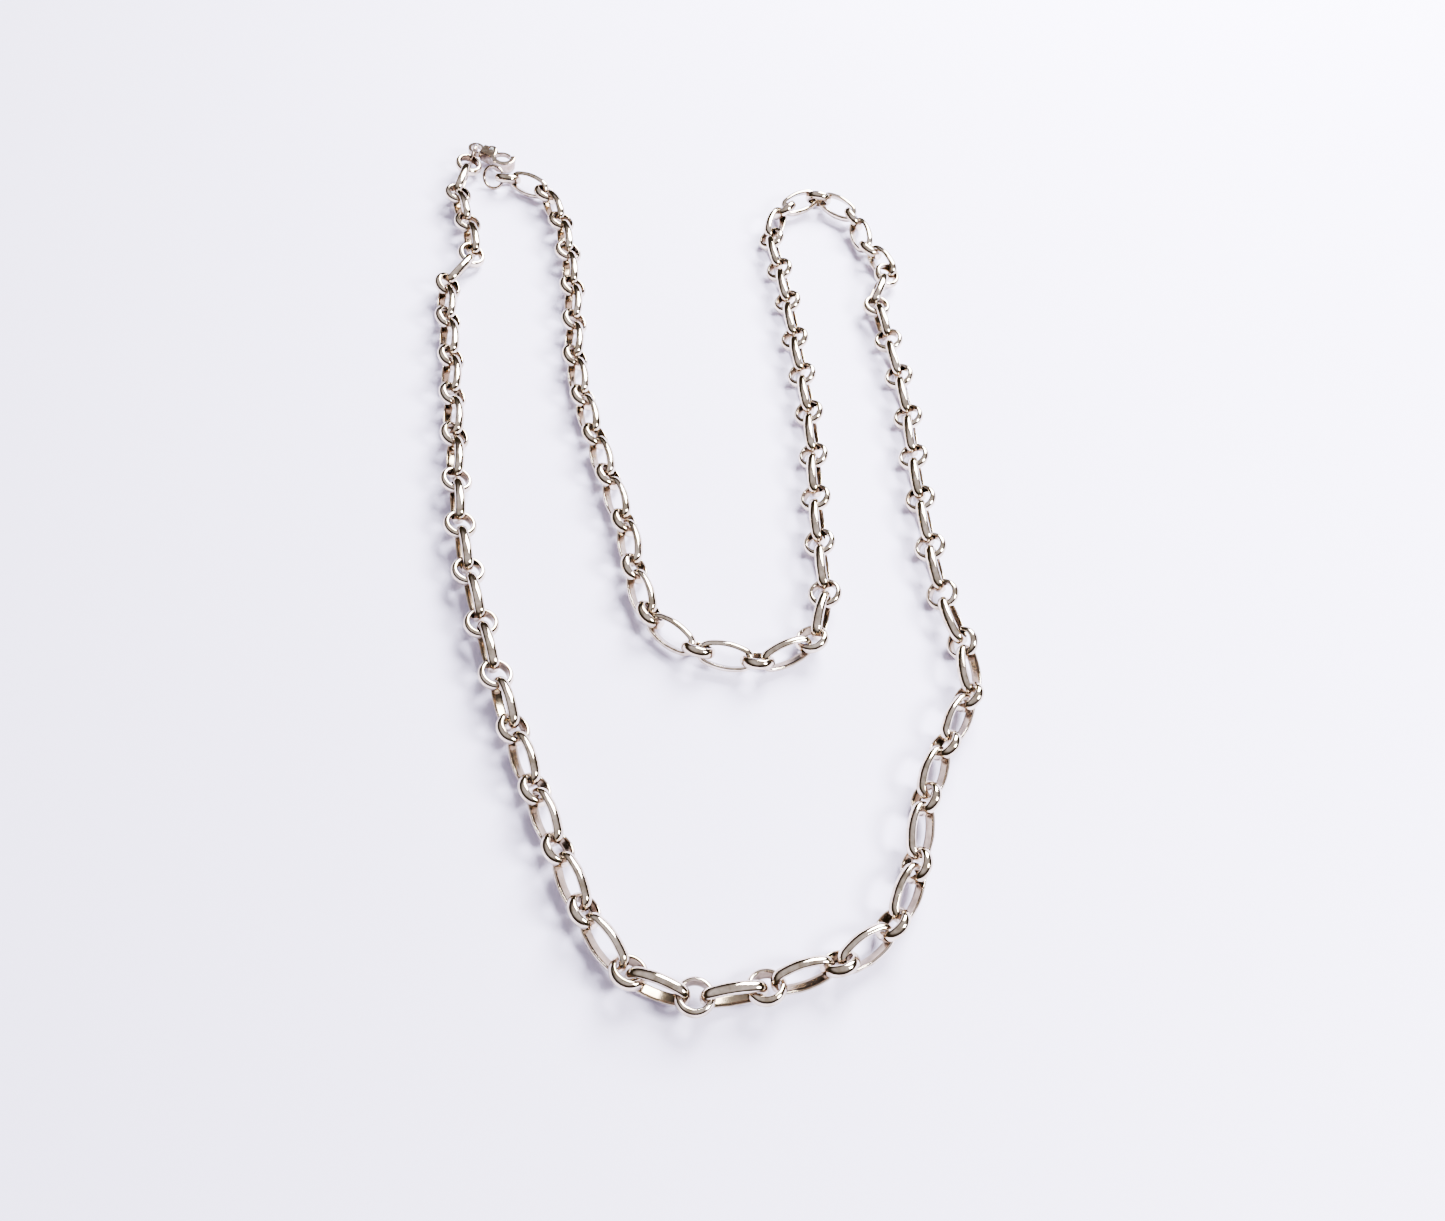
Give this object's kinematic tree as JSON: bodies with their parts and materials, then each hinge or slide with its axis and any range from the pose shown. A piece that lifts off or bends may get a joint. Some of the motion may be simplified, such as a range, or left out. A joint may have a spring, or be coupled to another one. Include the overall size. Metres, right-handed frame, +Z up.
{
  "type": "chain necklace",
  "caption": "Silver long-and-short belcher chain laid in an open double loop, with a lobster clasp at one end and a jump ring at the other",
  "frame": {"origin": "middle of the laid-out necklace, on the surface it lies on", "axes": "+Z up, away from the surface; +Y from the front bend of the loop towards the clasp; +X to the right"},
  "size_m": [0.1074, 0.1709, 0.0049],
  "materials": {
    "silver": "polished sterling silver, slightly warm",
    "spring_steel": "plain spring steel"
  },
  "bodies": {
    "chain_section_01": {"chain_section_01": "silver"},
    "chain_section_02": {"chain_section_02": "silver"},
    "chain_section_03": {"chain_section_03": "silver"},
    "chain_section_04": {"chain_section_04": "silver"},
    "chain_section_05": {"chain_section_05": "silver"},
    "chain_section_06": {"chain_section_06": "silver"},
    "chain_section_07": {"chain_section_07": "silver"},
    "chain_section_08": {"chain_section_08": "silver"},
    "chain_section_09": {"chain_section_09": "silver"},
    "chain_section_10": {"chain_section_10": "silver"},
    "chain_section_11": {"chain_section_11": "silver"},
    "chain_section_12": {"chain_section_12": "silver"},
    "chain_section_13": {"chain_section_13": "silver"},
    "chain_section_14": {"chain_section_14": "silver"},
    "chain_section_15": {"chain_section_15": "silver"},
    "chain_section_16": {"chain_section_16": "silver"},
    "chain_section_17": {"chain_section_17": "silver"},
    "chain_section_18": {"chain_section_18": "silver"},
    "chain_section_19": {"chain_section_19": "silver"},
    "chain_section_20": {"chain_section_20": "silver"},
    "chain_section_21": {"chain_section_21": "silver"},
    "chain_section_22": {"chain_section_22": "silver"},
    "chain_section_23": {"chain_section_23": "silver"},
    "chain_section_24": {"chain_section_24": "silver"},
    "chain_section_25": {"chain_section_25": "silver"},
    "chain_section_26": {"chain_section_26": "silver"},
    "chain_section_27": {"chain_section_27": "silver"},
    "chain_section_28": {"chain_section_28": "silver"},
    "chain_section_29": {"chain_section_29": "silver"},
    "chain_section_30": {"chain_section_30": "silver"},
    "chain_section_31": {"chain_section_31": "silver"},
    "chain_section_32": {"chain_section_32": "silver"},
    "chain_section_33": {"chain_section_33": "silver"},
    "chain_section_34": {"chain_section_34": "silver"},
    "chain_section_35": {"chain_section_35": "silver"},
    "chain_section_36": {"chain_section_36": "silver"},
    "chain_section_37": {"chain_section_37": "silver"},
    "chain_section_38": {"chain_section_38": "silver"},
    "chain_section_39": {"chain_section_39": "silver"},
    "chain_section_40": {"chain_section_40": "silver"},
    "chain_section_41": {"chain_section_41": "silver"},
    "jump_ring": {"jump_ring": "silver"},
    "clasp": {"clasp_body": "silver", "clasp_pin": "spring_steel", "clasp_spring": "spring_steel"},
    "lever": {"clasp_lever": "silver"},
    "end_ring": {"end_ring": "silver"}
  },
  "joints": [
    {"name": "link_20_to_21", "type": "hinge", "parent": "chain_section_21", "child": "chain_section_20", "pos_m": [0.0416, 0.02076, 0.00233], "axis": [-0.993, -0.1178, 0], "range_deg": [-18, 18]},
    {"name": "link_19_to_20", "type": "hinge", "parent": "chain_section_20", "child": "chain_section_19", "pos_m": [0.0436, 0.00464, 0.00231], "axis": [0.9893, 0.1456, 0], "range_deg": [-18, 18]},
    {"name": "link_18_to_19", "type": "hinge", "parent": "chain_section_19", "child": "chain_section_18", "pos_m": [0.04571, -0.00783, 0.00229], "axis": [0.9804, 0.1969, 0], "range_deg": [-18, 18]},
    {"name": "link_17_to_18", "type": "hinge", "parent": "chain_section_18", "child": "chain_section_17", "pos_m": [0.05004, -0.02347, 0.00232], "axis": [-0.9413, -0.3377, 0], "range_deg": [-18, 18]},
    {"name": "link_16_to_17", "type": "hinge", "parent": "chain_section_17", "child": "chain_section_16", "pos_m": [0.05084, -0.03542, 0.00249], "axis": [-0.9284, 0.3716, 0], "range_deg": [-18, 18]},
    {"name": "link_15_to_16", "type": "hinge", "parent": "chain_section_16", "child": "chain_section_15", "pos_m": [0.04513, -0.05049, 0.00254], "axis": [0.9658, -0.2593, 0], "range_deg": [-18, 18]},
    {"name": "link_14_to_15", "type": "hinge", "parent": "chain_section_15", "child": "chain_section_14", "pos_m": [0.04355, -0.06293, 0.00251], "axis": [0.966, -0.2584, 0], "range_deg": [-18, 18]},
    {"name": "link_13_to_14", "type": "hinge", "parent": "chain_section_14", "child": "chain_section_13", "pos_m": [0.03494, -0.07583, 0.00243], "axis": [-0.58, 0.8146, 0], "range_deg": [-18, 18]},
    {"name": "link_12_to_13", "type": "hinge", "parent": "chain_section_13", "child": "chain_section_12", "pos_m": [0.02353, -0.08102, 0.00239], "axis": [-0.3175, 0.9483, 0], "range_deg": [-18, 18]},
    {"name": "link_11_to_12", "type": "hinge", "parent": "chain_section_12", "child": "chain_section_11", "pos_m": [0.00799, -0.0814, 0.00231], "axis": [-0.3353, -0.9421, 0], "range_deg": [-15, 15]},
    {"name": "link_10_to_11", "type": "hinge", "parent": "chain_section_11", "child": "chain_section_10", "pos_m": [-0.00063, -0.07268, 0.0023], "axis": [-0.8407, -0.5414, 0], "range_deg": [-18, 18]},
    {"name": "link_09_to_10", "type": "hinge", "parent": "chain_section_10", "child": "chain_section_09", "pos_m": [-0.00907, -0.05879, 0.0022], "axis": [0.8636, 0.5042, 0], "range_deg": [-18, 18]},
    {"name": "link_08_to_09", "type": "hinge", "parent": "chain_section_09", "child": "chain_section_08", "pos_m": [-0.01523, -0.04774, 0.00222], "axis": [0.8843, 0.4669, 0], "range_deg": [-18, 18]},
    {"name": "link_07_to_08", "type": "hinge", "parent": "chain_section_08", "child": "chain_section_07", "pos_m": [-0.02252, -0.03322, 0.00242], "axis": [-0.9021, -0.4315, 0], "range_deg": [-18, 18]},
    {"name": "link_06_to_07", "type": "hinge", "parent": "chain_section_07", "child": "chain_section_06", "pos_m": [-0.02775, -0.0217, 0.0024], "axis": [-0.9263, -0.3768, 0], "range_deg": [-18, 18]},
    {"name": "link_05_to_06", "type": "hinge", "parent": "chain_section_06", "child": "chain_section_05", "pos_m": [-0.03311, -0.00638, 0.00237], "axis": [0.9583, 0.2857, 0], "range_deg": [-18, 18]},
    {"name": "link_04_to_05", "type": "hinge", "parent": "chain_section_05", "child": "chain_section_04", "pos_m": [-0.0365, 0.00581, 0.00221], "axis": [0.9626, 0.2707, 0], "range_deg": [-18, 18]},
    {"name": "link_03_to_04", "type": "hinge", "parent": "chain_section_04", "child": "chain_section_03", "pos_m": [-0.04085, 0.02147, 0.00224], "axis": [-0.9632, -0.2689, 0], "range_deg": [-18, 18]},
    {"name": "link_02_to_03", "type": "hinge", "parent": "chain_section_03", "child": "chain_section_02", "pos_m": [-0.04449, 0.03358, 0.00224], "axis": [-0.9588, -0.284, 0], "range_deg": [-18, 18]},
    {"name": "link_01_to_02", "type": "hinge", "parent": "chain_section_02", "child": "chain_section_01", "pos_m": [-0.05052, 0.06702, 0.00236], "axis": [0.9162, 0.4008, 0], "range_deg": [-18, 18]},
    {"name": "link_21_to_22", "type": "hinge", "parent": "chain_section_21", "child": "chain_section_22", "pos_m": [0.03934, 0.0332, 0.00234], "axis": [-0.9735, -0.2286, 0], "range_deg": [-18, 18]},
    {"name": "link_22_to_23", "type": "hinge", "parent": "chain_section_22", "child": "chain_section_23", "pos_m": [0.03533, 0.04895, 0.00239], "axis": [0.9579, 0.287, 0], "range_deg": [-18, 18]},
    {"name": "link_23_to_24", "type": "hinge", "parent": "chain_section_23", "child": "chain_section_24", "pos_m": [0.03404, 0.06611, 0.00219], "axis": [0.8192, 0.5735, 0], "range_deg": [-18, 18]},
    {"name": "link_24_to_25", "type": "hinge", "parent": "chain_section_24", "child": "chain_section_25", "pos_m": [0.01574, 0.07698, 0.00244], "axis": [0.7177, -0.6964, 0], "range_deg": [-18, 18]},
    {"name": "link_25_to_26", "type": "hinge", "parent": "chain_section_25", "child": "chain_section_26", "pos_m": [0.0134, 0.06528, 0.00227], "axis": [0.9754, 0.2206, 0], "range_deg": [-18, 18]},
    {"name": "link_26_to_27", "type": "hinge", "parent": "chain_section_26", "child": "chain_section_27", "pos_m": [0.01752, 0.04958, 0.00231], "axis": [-0.9744, -0.2248, 0], "range_deg": [-18, 18]},
    {"name": "link_27_to_28", "type": "hinge", "parent": "chain_section_27", "child": "chain_section_28", "pos_m": [0.02013, 0.0372, 0.00231], "axis": [-0.9784, -0.2069, 0], "range_deg": [-18, 18]},
    {"name": "link_28_to_29", "type": "hinge", "parent": "chain_section_28", "child": "chain_section_29", "pos_m": [0.02348, 0.0213, 0.00232], "axis": [0.9809, 0.1943, 0], "range_deg": [-18, 18]},
    {"name": "link_29_to_30", "type": "hinge", "parent": "chain_section_29", "child": "chain_section_30", "pos_m": [0.02527, 0.00878, 0.00232], "axis": [0.9951, 0.0992, 0], "range_deg": [-18, 18]},
    {"name": "link_30_to_31", "type": "hinge", "parent": "chain_section_30", "child": "chain_section_31", "pos_m": [0.02705, -0.00737, 0.00233], "axis": [-0.9902, -0.1394, 0], "range_deg": [-18, 18]},
    {"name": "link_31_to_32", "type": "hinge", "parent": "chain_section_31", "child": "chain_section_32", "pos_m": [0.02879, -0.01984, 0.00241], "axis": [-0.998, 0.0636, 0], "range_deg": [-18, 18]},
    {"name": "link_32_to_33", "type": "hinge", "parent": "chain_section_32", "child": "chain_section_33", "pos_m": [0.01128, -0.03204, 0.00235], "axis": [-0.1258, -0.9921, 0], "range_deg": [-18, 18]},
    {"name": "link_33_to_34", "type": "hinge", "parent": "chain_section_33", "child": "chain_section_34", "pos_m": [0.00132, -0.02561, 0.00231], "axis": [-0.8859, -0.4638, 0], "range_deg": [-18, 18]},
    {"name": "link_34_to_35", "type": "hinge", "parent": "chain_section_34", "child": "chain_section_35", "pos_m": [-0.00425, -0.01051, 0.00226], "axis": [0.9396, 0.3424, 0], "range_deg": [-18, 18]},
    {"name": "link_35_to_36", "type": "hinge", "parent": "chain_section_35", "child": "chain_section_36", "pos_m": [-0.00947, 0.00101, 0.00222], "axis": [0.9148, 0.404, 0], "range_deg": [-18, 18]},
    {"name": "link_36_to_37", "type": "hinge", "parent": "chain_section_36", "child": "chain_section_37", "pos_m": [-0.01586, 0.016, 0.00216], "axis": [-0.9254, -0.3791, 0], "range_deg": [-18, 18]},
    {"name": "link_37_to_38", "type": "hinge", "parent": "chain_section_37", "child": "chain_section_38", "pos_m": [-0.01979, 0.02796, 0.00212], "axis": [-0.9783, -0.2071, 0], "range_deg": [-18, 18]},
    {"name": "link_38_to_39", "type": "hinge", "parent": "chain_section_38", "child": "chain_section_39", "pos_m": [-0.02299, 0.04389, 0.00224], "axis": [0.9744, 0.225, 0], "range_deg": [-18, 18]},
    {"name": "link_39_to_40", "type": "hinge", "parent": "chain_section_39", "child": "chain_section_40", "pos_m": [-0.02634, 0.05608, 0.00236], "axis": [0.9518, 0.3068, 0], "range_deg": [-18, 18]},
    {"name": "link_40_to_41", "type": "hinge", "parent": "chain_section_40", "child": "chain_section_41", "pos_m": [-0.03288, 0.07073, 0.00228], "axis": [-0.8579, -0.5138, 0], "range_deg": [-18, 18]},
    {"name": "jump_ring_swing", "type": "hinge", "parent": "chain_section_01", "child": "jump_ring", "pos_m": [-0.05093, 0.07931, 0.0024], "axis": [0.9967, -0.0813, 0], "range_deg": [-15, 15]},
    {"name": "clasp_swing", "type": "hinge", "parent": "jump_ring", "child": "clasp", "pos_m": [-0.05061, 0.08333, 0.00239], "axis": [0.1356, -0.0313, 0.9903], "range_deg": [-15, 15]},
    {"name": "lever_pivot", "type": "hinge", "parent": "clasp", "child": "lever", "pos_m": [-0.04741, 0.08351, 0.00196], "axis": [-0.1356, 0.0313, -0.9903], "range_deg": [0, 24], "stiffness_Nm_per_rad": 0.0004, "springref_deg": -11.46},
    {"name": "end_ring_swing", "type": "hinge", "parent": "chain_section_41", "child": "end_ring", "pos_m": [-0.04388, 0.07539, 0.0021], "axis": [0.0018, -1, 0], "range_deg": [-15, 15]}
  ]
}
